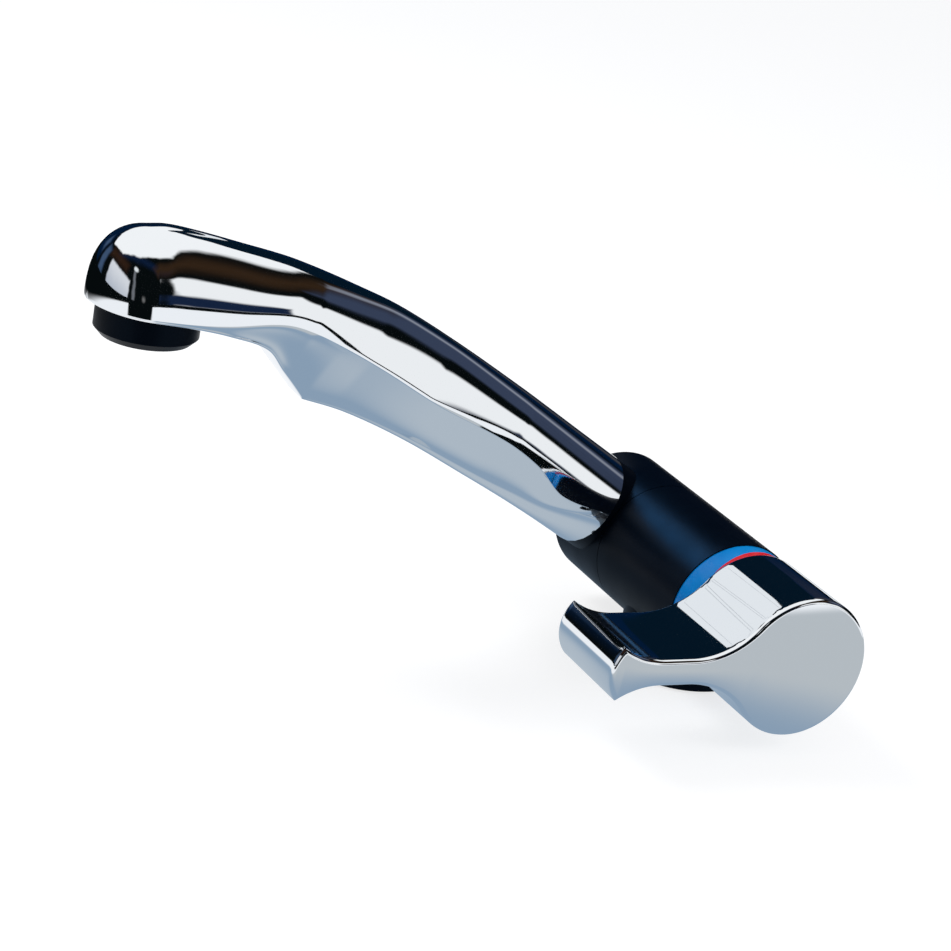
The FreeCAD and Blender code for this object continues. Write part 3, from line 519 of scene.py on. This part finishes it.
def lever_outline(inset):
    """Round disc, waisted arm and flared tip from tangent arcs, as (y, z) points round the body axis."""
    neck = lever_neck - inset
    big = lever_blend + inset
    centre_z = lever_neck + lever_blend
    centre_y = -math.sqrt((lever_radius + lever_blend) ** 2 - centre_z ** 2)
    touch = math.atan2(centre_z, centre_y)
    flare_z = lever_neck + lever_flare_radius
    flare = lever_flare_radius + inset
    corner_z = flare_z - math.sqrt(lever_flare_radius ** 2 - (lever_corner - lever_flare_start) ** 2)
    bulge = lever_tip - lever_corner
    tip_radius = (corner_z ** 2 + bulge ** 2) / (2.0 * bulge)
    tip_y = -lever_tip + tip_radius
    tip = tip_radius - inset
    # The corner of the tip: where the flare's arc and the tip's arc cross.
    gap_y, gap_z = tip_y + lever_flare_start, -flare_z
    gap = math.hypot(gap_y, gap_z)
    lean = math.atan2(gap_z, gap_y)
    flare_turn = lean - math.acos((flare ** 2 + gap ** 2 - tip ** 2) / (2.0 * flare * gap))
    corner_z = flare_z + flare * math.sin(flare_turn)
    tip_turn = math.asin(corner_z / tip)
    quarter = math.pi / 2.0
    points = arc_points((0.0, 0.0), lever_radius - inset, -touch, touch, disc_steps)
    points += arc_points((centre_y, centre_z), big, touch - math.pi, -quarter, blend_steps)
    run = -lever_flare_start - centre_y
    points += [(centre_y + run * i / arm_steps, neck) for i in range(arm_steps)]
    points += arc_points((-lever_flare_start, flare_z), flare, -quarter, flare_turn, flare_steps)
    points += arc_points((tip_y, 0.0), tip, math.pi - tip_turn, math.pi + tip_turn, tip_steps)
    points += arc_points((-lever_flare_start, -flare_z), flare, -flare_turn, quarter, flare_steps)
    points += [(-lever_flare_start - run * i / arm_steps, -neck) for i in range(arm_steps)]
    points += arc_points((centre_y, -centre_z), big, quarter, math.pi - touch, blend_steps)
    return points


def lever_body():
    """The lever with its rounded edges, the pocket behind its disc and the boss that holds the stem."""
    verts = []
    faces = []
    rings = []

    def add_ring(points, x):
        rings.append(list(range(len(verts), len(verts) + len(points))))
        verts.extend(Vector((x, y, axis_height + z)) for y, z in points)

    round_turns = [math.pi / 2.0 * i / round_steps for i in range(round_steps + 1)]
    for a in round_turns:
        add_ring(lever_outline(lever_round * (1.0 - math.sin(a))),
                 lever_back + lever_round * (1.0 - math.cos(a)))
    straight = lever_depth - 2.0 * lever_round
    for i in range(1, depth_steps):
        add_ring(lever_outline(0.0), lever_back + lever_round + straight * i / depth_steps)
    for a in round_turns:
        add_ring(lever_outline(lever_round * (1.0 - math.cos(a))),
                 lever_face - lever_round * (1.0 - math.sin(a)))
    for first, second in zip(rings, rings[1:]):
        faces.extend(ring_faces(first, second))
    faces.append(tuple(rings[-1]))
    faces.append(tuple(reversed(rings[0])))
    body = mesh_from("lever_body", verts, faces, lever_sharp)
    inner_end = lever_face - front_wall
    for start, end, radius in ((lever_back - 2.0 * past, lever_back + mouth_depth, pocket_mouth),
                               (lever_back, inner_end, pocket_inner)):
        subtract(body, rod((start, 0.0, axis_height), (end, 0.0, axis_height), radius, pocket_count))
    boss = rod((boss_back, 0.0, axis_height), (inner_end + past / 2.0, 0.0, axis_height), boss_radius)
    low = axis_height - lever_radius
    middle = (set_screw_x, 0.0, axis_height)
    below = (set_screw_x, 0.0, low - past)
    pillar = rod((set_screw_x, 0.0, low + pillar_start), middle, pillar_radius)
    combine(boss, pillar, "UNION")
    combine(body, boss, "UNION")
    subtract(body, block((lever_back, -stem_half, axis_height - stem_half),
                         (stem_end, stem_half, axis_height + stem_half)))
    subtract(body, rod(below, middle, set_screw_room, small_count))
    subtract(body, rod(below, (set_screw_x, 0.0, low + plug_top), plug_room, small_count))
    shade(body.data, lever_sharp)
    return body


# Stage, lights and camera

def add_camera():
    """Camera at the photo's place, turned by its azimuth, elevation and roll."""
    sa, ca = math.sin(camera_azimuth), math.cos(camera_azimuth)
    se, ce = math.sin(camera_elevation), math.cos(camera_elevation)
    back = Vector((sa * ce, -ca * ce, se))
    right = Vector((ca, sa, 0.0))
    up = back.cross(right)
    cr, sr = math.cos(camera_roll), math.sin(camera_roll)
    right_rolled = right * cr + up * sr
    up_rolled = up * cr - right * sr
    data = bpy.data.cameras.new("camera")
    data.lens = camera_lens
    data.sensor_width = camera_sensor
    data.clip_start, data.clip_end = camera_clip
    camera = bpy.data.objects.new("camera", data)
    bpy.context.scene.collection.objects.link(camera)
    basis = Matrix((right_rolled, up_rolled, back)).transposed().to_4x4()
    camera.matrix_world = Matrix.Translation(Vector(camera_place)) @ basis
    bpy.context.scene.camera = camera


white = (1.0, 1.0, 1.0)
soft_light = (0.50, 0.52, 0.56)
mirror_rays = ("Is Glossy Ray",)
sight_rays = ("Is Camera Ray", "Is Transmission Ray")


def any_ray(tree, names):
    """Number that is 1 for the named kinds of ray and 0 for the others."""
    path = tree.nodes.new("ShaderNodeLightPath")
    value = path.outputs[names[0]]
    for name in names[1:]:
        value = math_node(tree, "MAXIMUM", value, path.outputs[name])
    return value


def math_node(tree, operation, first, second=None, third=None):
    node = tree.nodes.new("ShaderNodeMath")
    node.operation = operation
    for socket, value in zip(node.inputs, (first, second, third)):
        if value is None:
            continue
        if isinstance(value, (int, float)):
            socket.default_value = value
        else:
            tree.links.new(value, socket)
    return node.outputs[0]


def vector_node(tree, operation, first, second):
    node = tree.nodes.new("ShaderNodeVectorMath")
    node.operation = operation
    for socket, value in zip(node.inputs, (first, second)):
        if isinstance(value, (tuple, Vector)):
            socket.default_value = tuple(value)
        else:
            tree.links.new(value, socket)
    return node.outputs["Value"] if operation in ("DOT_PRODUCT", "DISTANCE") else node.outputs["Vector"]


def soft_step(tree, value, low, high):
    """0 below low, 1 above high and a smooth rise between them."""
    span = tree.nodes.new("ShaderNodeMapRange")
    span.interpolation_type = "SMOOTHSTEP"
    span.inputs["From Min"].default_value = low
    span.inputs["From Max"].default_value = high
    tree.links.new(value, span.inputs["Value"])
    return span.outputs["Result"]


def mix_color(tree, share, first, second):
    node = tree.nodes.new("ShaderNodeMix")
    node.data_type = "RGBA"
    for socket, value in ((node.inputs[0], share), (node.inputs[6], first), (node.inputs[7], second)):
        if isinstance(value, (int, float)):
            socket.default_value = value
        elif isinstance(value, tuple):
            socket.default_value = (*value, 1.0)
        else:
            tree.links.new(value, socket)
    return node.outputs[2]


def direction(azimuth, elevation):
    a, e = math.radians(azimuth), math.radians(elevation)
    return Vector((math.cos(a) * math.cos(e), math.sin(a) * math.cos(e), math.sin(e)))


def studio_card(azimuth, elevation, width, height, color, soft, turn=0.0, top=None, is_round=False):
    """One card: where it is, how large and how soft, all in degrees, its colour and its colour on top."""
    return {"azimuth": azimuth, "elevation": elevation, "width": width, "height": height, "color": color,
            "soft": soft, "turn": turn, "top": top, "is_round": is_round}


def add_card(tree, ray, color, card):
    """Paints a studio card that the polished metal mirrors: a soft rectangle or oval in a direction."""
    forward = direction(card["azimuth"], card["elevation"])
    across = Vector((0.0, 0.0, 1.0)).cross(forward).normalized()
    upward = forward.cross(across)
    turn = math.radians(card["turn"])
    side = across * math.cos(turn) + upward * math.sin(turn)
    rise = upward * math.cos(turn) - across * math.sin(turn)
    depth = vector_node(tree, "DOT_PRODUCT", ray, forward)
    safe = math_node(tree, "MAXIMUM", depth, least_depth)
    u = math_node(tree, "DIVIDE", vector_node(tree, "DOT_PRODUCT", ray, side), safe)
    v = math_node(tree, "DIVIDE", vector_node(tree, "DOT_PRODUCT", ray, rise), safe)
    half_u = math.tan(math.radians(card["width"] / 2.0))
    half_v = math.tan(math.radians(card["height"] / 2.0))
    soft = math.radians(card["soft"])
    if card["is_round"]:
        least = min(half_u, half_v)
        far_u = math_node(tree, "POWER", math_node(tree, "DIVIDE", u, half_u), 2.0)
        far_v = math_node(tree, "POWER", math_node(tree, "DIVIDE", v, half_v), 2.0)
        far = math_node(tree, "SQRT", math_node(tree, "ADD", far_u, far_v))
        edge = math_node(tree, "MULTIPLY_ADD", far, -least, least)
    else:
        edge_u = math_node(tree, "SUBTRACT", half_u, math_node(tree, "ABSOLUTE", u))
        edge_v = math_node(tree, "SUBTRACT", half_v, math_node(tree, "ABSOLUTE", v))
        edge = math_node(tree, "MINIMUM", edge_u, edge_v)
    mask = soft_step(tree, edge, -soft, soft)
    mask = math_node(tree, "MULTIPLY", mask, math_node(tree, "GREATER_THAN", depth, least_depth))
    paint = card["color"]
    if card["top"]:
        paint = mix_color(tree, soft_step(tree, v, -half_v, half_v), card["color"], card["top"])
    return mix_color(tree, mask, color, paint)


# The overhead light as seen by the metal: a white sheet above with these edges. Each edge is a line
# a * x + b * y < c on a plane one unit above the tap.
sheet_edges = [(1.0, 0.0, 0.64), (0.52, 1.0, 0.75), (0.0, 1.0, 1.15), (-1.0, -0.37, 1.32),
               (0.0, -1.0, 1.10), (1.45, -1.0, 1.25)]
sheet_color = (1.0, 1.01, 1.02)
sheet_fade = (-0.05, 0.07)

# The smallest height and depth of a ray that are divided by, and the waves in what is mirrored.
least_height = 0.08
least_depth = 0.05
wave_scale = 5.0
wave_detail = 3.0
wave_size = 0.10

# Walls and cards round the table. Each card has its azimuth from +X towards +Y, its elevation, width,
# height, colour and softness, all but the colour in degrees. Later ones lie over earlier ones.
wall_color = (0.0020, 0.0035, 0.0040)
cards = [
    studio_card(165.0, 10.0, 100.0, 60.0, (0.001, 0.010, 0.035), 16.0),
    studio_card(-35.0, 52.0, 90.0, 10.0, (0.004, 0.012, 0.038), 6.0),
    studio_card(-85.0, 34.0, 50.0, 12.0, (0.030, 0.014, 0.008), 7.0),
    studio_card(60.0, 44.0, 72.0, 12.0, (0.034, 0.018, 0.009), 7.0),
    studio_card(85.0, 30.0, 40.0, 14.0, (0.040, 0.055, 0.100), 4.0),
    studio_card(97.0, 31.0, 6.0, 15.0, (0.28, 0.30, 0.36), 4.0),
    studio_card(52.0, 9.0, 17.0, 20.0, (0.95, 0.96, 0.97), 1.5),
    studio_card(132.0, 12.0, 9.0, 36.0, (0.05, 0.05, 0.055), 4.0, turn=-14.0),
    studio_card(-75.0, 2.0, 54.0, 42.0, (0.38, 0.43, 0.52), 2.5, turn=-7.0, top=(0.74, 0.76, 0.80)),
    studio_card(-36.0, 8.0, 5.0, 58.0, (0.16, 0.17, 0.19), 2.0),
    studio_card(-34.0, 35.0, 10.0, 7.0, (0.80, 0.84, 0.86), 1.5, is_round=True),
    studio_card(-13.0, 3.0, 6.0, 5.0, (0.16, 0.16, 0.16), 2.0, is_round=True),
    studio_card(37.0, 2.0, 25.0, 50.0, (0.95, 0.96, 0.97), 2.0, turn=3.0),
    studio_card(28.0, 4.0, 13.0, 9.0, (0.008, 0.018, 0.05), 1.5),
    studio_card(24.0, -7.0, 6.0, 5.0, (0.10, 0.11, 0.14), 2.0),
    studio_card(-126.0, 14.0, 15.0, 30.0, (0.05, 0.09, 0.17), 5.0),
    studio_card(-154.0, 18.0, 13.0, 12.0, (0.05, 0.09, 0.17), 5.0),
]


def studio_color(tree, ray):
    """Colour of the studio in a direction: dark walls, cards and the sheet overhead."""
    waves = tree.nodes.new("ShaderNodeTexNoise")
    waves.inputs["Scale"].default_value = wave_scale
    waves.inputs["Detail"].default_value = wave_detail
    tree.links.new(ray, waves.inputs["Vector"])
    shift = vector_node(tree, "SUBTRACT", waves.outputs["Color"], (0.5, 0.5, 0.5))
    shift = vector_node(tree, "MULTIPLY", shift, (wave_size, wave_size, wave_size))
    ray = vector_node(tree, "ADD", ray, shift)
    color = wall_color
    for card in cards:
        color = add_card(tree, ray, color, card)
    parts = tree.nodes.new("ShaderNodeSeparateXYZ")
    tree.links.new(ray, parts.inputs[0])
    height = math_node(tree, "MAXIMUM", parts.outputs["Z"], least_height)
    x = math_node(tree, "DIVIDE", parts.outputs["X"], height)
    y = math_node(tree, "DIVIDE", parts.outputs["Y"], height)
    inside = None
    for a, b, c in sheet_edges:
        size = math.hypot(a, b)
        side = math_node(tree, "MULTIPLY_ADD", x, -a / size, c / size)
        side = math_node(tree, "MULTIPLY_ADD", y, -b / size, side)
        inside = side if inside is None else math_node(tree, "MINIMUM", inside, side)
    return mix_color(tree, soft_step(tree, inside, *sheet_fade), color, sheet_color)


def add_world():
    """White for the camera, a studio for polished surfaces and soft pale light for the rest."""
    world = bpy.data.worlds.new("studio")
    bpy.context.scene.world = world
    world.use_nodes = True
    tree = world.node_tree
    tree.nodes.clear()
    out = tree.nodes.new("ShaderNodeOutputWorld")
    shader = tree.nodes.new("ShaderNodeBackground")
    place = tree.nodes.new("ShaderNodeTexCoord")
    mirrored = studio_color(tree, place.outputs["Generated"])
    color = mix_color(tree, any_ray(tree, mirror_rays), soft_light, mirrored)
    color = mix_color(tree, any_ray(tree, sight_rays), color, white)
    tree.links.new(color, shader.inputs["Color"])
    tree.links.new(shader.outputs[0], out.inputs["Surface"])


# The table as the metal mirrors it: bluish round the tap, darkened there by painted shade in a ring close
# to the tap, white farther out, a dark stretch past the spout's head and the dark room beyond its edge.
table_centre = (0.55, 0.0, 0.0)
table_radius = 0.92
table_edge = 0.05
table_under = (0.47, 0.54, 0.61)
table_shade = (0.28, 0.38, 0.50)
table_middle = (0.52, 0.56, 0.59)
table_far = (0.95, 0.97, 1.0)
near_centre = (0.0, -0.05, 0.0)
under_radius = 0.02
shade_radius = 0.065
away_radius = 0.09
middle_radius = 0.14
far_centre = (0.02, 0.05, 0.0)
wide_radius = 0.185
far_radius = 0.215
gap_start = Vector((-0.04, -0.17, 0.0))
gap_azimuth = -18.0
gap_from = 0.20
gap_spread = 0.5
gap_fade = 0.02

# The floor lies a hair under the gasket. Its glow is mixed in for the eye only, so it keeps the shadow.
floor_glow = (1.25, 1.25, 1.25)
floor_glow_share = 0.6
floor_level = -0.0002
floor_half = 6.0


def table_mirrored(tree):
    """Colour of the table and what lies beyond it, by place on the floor."""
    place = tree.nodes.new("ShaderNodeNewGeometry").outputs["Position"]
    away = vector_node(tree, "DISTANCE", place, near_centre)
    # Painted shade: darker and bluer in a ring round the tap, as if the tap shaded the table.
    color = mix_color(tree, soft_step(tree, away, under_radius, shade_radius), table_under, table_shade)
    color = mix_color(tree, soft_step(tree, away, away_radius, middle_radius), color, table_middle)
    away = vector_node(tree, "DISTANCE", place, far_centre)
    color = mix_color(tree, soft_step(tree, away, wide_radius, far_radius), color, table_far)
    offset = vector_node(tree, "SUBTRACT", place, gap_start)
    forward = direction(gap_azimuth, 0.0)
    along = vector_node(tree, "DOT_PRODUCT", offset, forward)
    aside = vector_node(tree, "DOT_PRODUCT", offset, (-forward.y, forward.x, 0.0))
    aside = math_node(tree, "ABSOLUTE", aside)
    inside = math_node(tree, "SUBTRACT", math_node(tree, "MULTIPLY", along, gap_spread), aside)
    gap = math_node(tree, "MULTIPLY", soft_step(tree, inside, -gap_fade / 2.0, gap_fade),
                    soft_step(tree, along, gap_from - gap_fade, gap_from + gap_fade))
    color = mix_color(tree, gap, color, wall_color)
    outward = vector_node(tree, "DISTANCE", place, table_centre)
    beyond = soft_step(tree, outward, table_radius - table_edge, table_radius + table_edge)
    return mix_color(tree, beyond, color, wall_color)


def flat_sheet(name, half_x, half_y, level=0.0):
    corners = ((-half_x, -half_y), (half_x, -half_y), (half_x, half_y), (-half_x, half_y))
    return mesh_from(name, [(x, y, level) for x, y in corners], [(0, 1, 2, 3)])


def add_floor():
    """White floor that keeps the shadow. Polished metal sees it as a pale table with a dark room beyond."""
    floor = flat_sheet("floor", floor_half, floor_half, floor_level)
    mat, tree, shader = node_material("floor_white", (0.9, 0.9, 0.9), 0.0, 0.9, 0.1)
    color = mix_color(tree, any_ray(tree, mirror_rays), floor_glow, table_mirrored(tree))
    glow = tree.nodes.new("ShaderNodeEmission")
    tree.links.new(color, glow.inputs["Color"])
    share = math_node(tree, "MULTIPLY", any_ray(tree, sight_rays), floor_glow_share)
    share = math_node(tree, "MAXIMUM", share, any_ray(tree, mirror_rays))
    mix = tree.nodes.new("ShaderNodeMixShader")
    tree.links.new(share, mix.inputs["Fac"])
    tree.links.new(shader.outputs[0], mix.inputs[1])
    tree.links.new(glow.outputs[0], mix.inputs[2])
    tree.links.new(mix.outputs[0], tree.nodes["Material Output"].inputs["Surface"])
    floor.data.materials.append(mat)


def add_light(name, place, size, power, color=white):
    """Soft light aimed at the tap, which neither the camera nor the metal sees."""
    data = bpy.data.lights.new(name, "AREA")
    data.shape = "RECTANGLE"
    data.size = size[0]
    data.size_y = size[1]
    data.energy = power
    data.color = color
    light = bpy.data.objects.new(name, data)
    bpy.context.scene.collection.objects.link(light)
    light.location = place
    aim = Vector(light_target) - Vector(place)
    light.rotation_mode = "QUATERNION"
    light.rotation_quaternion = aim.to_track_quat("-Z", "Y")
    light.visible_camera = False
    light.visible_glossy = False
    return light


def add_card_sheet(name, place, toward, size, color, folds=()):
    """A card above the lever that only polished surfaces see, and not those of the nearer spout.

    Its edges are wavy, and thin dark folds run across it at the given places.
    """
    half_w, half_h = size[0] / 2.0, size[1] / 2.0
    card = flat_sheet(name, half_w, half_h)
    aim = Vector(toward) - Vector(place)
    card.rotation_mode = "QUATERNION"
    card.rotation_quaternion = aim.to_track_quat("Z", "Y")
    card.location = place
    mat = bpy.data.materials.new(name)
    mat.use_nodes = True
    tree = mat.node_tree
    tree.nodes.clear()
    glow = tree.nodes.new("ShaderNodeEmission")
    waves = noise(tree, card_wave_scale, 1.0)
    wave = math_node(tree, "MULTIPLY", math_node(tree, "SUBTRACT", waves.outputs["Fac"], 0.5), card_wave)
    spot = tree.nodes.new("ShaderNodeTexCoord")
    parts = tree.nodes.new("ShaderNodeSeparateXYZ")
    tree.links.new(spot.outputs["Object"], parts.inputs[0])
    across = math_node(tree, "ADD", parts.outputs["X"], wave)
    upward = math_node(tree, "ADD", parts.outputs["Y"], wave)
    edge_u = math_node(tree, "SUBTRACT", half_w - card_wave / 2.0, math_node(tree, "ABSOLUTE", across))
    edge_v = math_node(tree, "SUBTRACT", half_h - card_wave / 2.0, math_node(tree, "ABSOLUTE", upward))
    inside = soft_step(tree, math_node(tree, "MINIMUM", edge_u, edge_v), 0.0, card_edge)
    paint = color
    for fold in folds:
        run = math_node(tree, "MULTIPLY_ADD", wave, fold_wave, parts.outputs["X"])
        line = math_node(tree, "ABSOLUTE", math_node(tree, "SUBTRACT", run, fold))
        paint = mix_color(tree, soft_step(tree, line, *fold_width), fold_color, paint)
    if folds:
        tree.links.new(paint, glow.inputs["Color"])
    else:
        glow.inputs["Color"].default_value = (*color, 1.0)
    out = tree.nodes.new("ShaderNodeOutputMaterial")
    clear = tree.nodes.new("ShaderNodeBsdfTransparent")
    path = tree.nodes.new("ShaderNodeLightPath")
    mix = tree.nodes.new("ShaderNodeMixShader")
    far = math_node(tree, "GREATER_THAN", path.outputs["Ray Length"], nearest_sight)
    tree.links.new(math_node(tree, "MULTIPLY", far, inside), mix.inputs["Fac"])
    tree.links.new(clear.outputs[0], mix.inputs[1])
    tree.links.new(glow.outputs[0], mix.inputs[2])
    tree.links.new(mix.outputs[0], out.inputs["Surface"])
    card.data.materials.append(mat)
    card.visible_camera = False
    card.visible_diffuse = False
    card.visible_shadow = False
    card.visible_transmission = False


# The sheen on the black plastic: its light stands behind the spout, in this direction from the body.
sheen_target = (0.0, 0.0, 0.04)
sheen_from = (-160.0, 29.0)
sheen_distance = 0.6
sheen_size = (0.34, 0.34)
sheen_power = 2.2
sheen_color = (0.05, 0.42, 1.0)


def add_sheen(pieces):
    """Bluish light that only the given pieces show and shade, as a satin band along the body."""
    group = bpy.data.collections.new("sheen_pieces")
    for piece in pieces:
        group.objects.link(piece)
    place = Vector(sheen_target) + direction(*sheen_from) * sheen_distance
    light = add_light("sheen", place, sheen_size, sheen_power, sheen_color)
    light.visible_glossy = True
    light.light_linking.receiver_collection = group
    light.light_linking.blocker_collection = group


# The cards above the lever stand this far from the place on the lever that mirrors them. Surfaces
# nearer than nearest_sight, such as the spout, don't see them.
lever_sight = Vector((0.045, -0.015, 0.045))
dark_place = lever_sight + direction(168.0, 37.0) * 0.372
dark_size = (0.44, 0.27)
dark_color = (0.0012, 0.008, 0.018)
pale_place = lever_sight + direction(-163.0, 35.0) * 0.36
pale_size = (0.29, 0.19)
pale_color = (0.86, 0.89, 0.92)
pale_folds = (-0.062, -0.05, 0.06)
nearest_sight = 0.305
card_wave = 0.06
card_wave_scale = 20.0
card_edge = 0.002
fold_wave = 0.05
fold_width = (0.0002, 0.0012)
fold_color = (0.30, 0.33, 0.37)
light_target = (0.0, -0.05, 0.05)


# The scene

add_camera()
add_world()
add_floor()
add_card_sheet("card_dark", dark_place, lever_sight, dark_size, dark_color)
add_card_sheet("card_pale", pale_place, lever_sight, pale_size, pale_color, pale_folds)
add_light("key", (-0.5, -0.6, 0.9), (0.6, 0.4), 6.0)
add_light("fill", (0.7, 0.5, 0.7), (0.5, 0.5), 3.0)

materials = make_materials()
slot_of = {s["node"]: s["material_slot"] for s in frame["record"]["subparts"]}
for node, obj in frame["nodes"].items():
    dress(obj, materials[slot_of[node]])
    shade(obj.data, solid_sharp)

add_sheen([obj for node, obj in frame["nodes"].items() if slot_of[node] == "body_plastic"])

spout = spout_shell()
dress(spout, materials["chrome_plate"])
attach(spout, "spout")
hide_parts("spout_shell")

lever = lever_body()
dress(lever, materials["chrome_plate"])
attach(lever, "lever")
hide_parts("lever")

bpy.context.scene.view_settings.view_transform = "Standard"
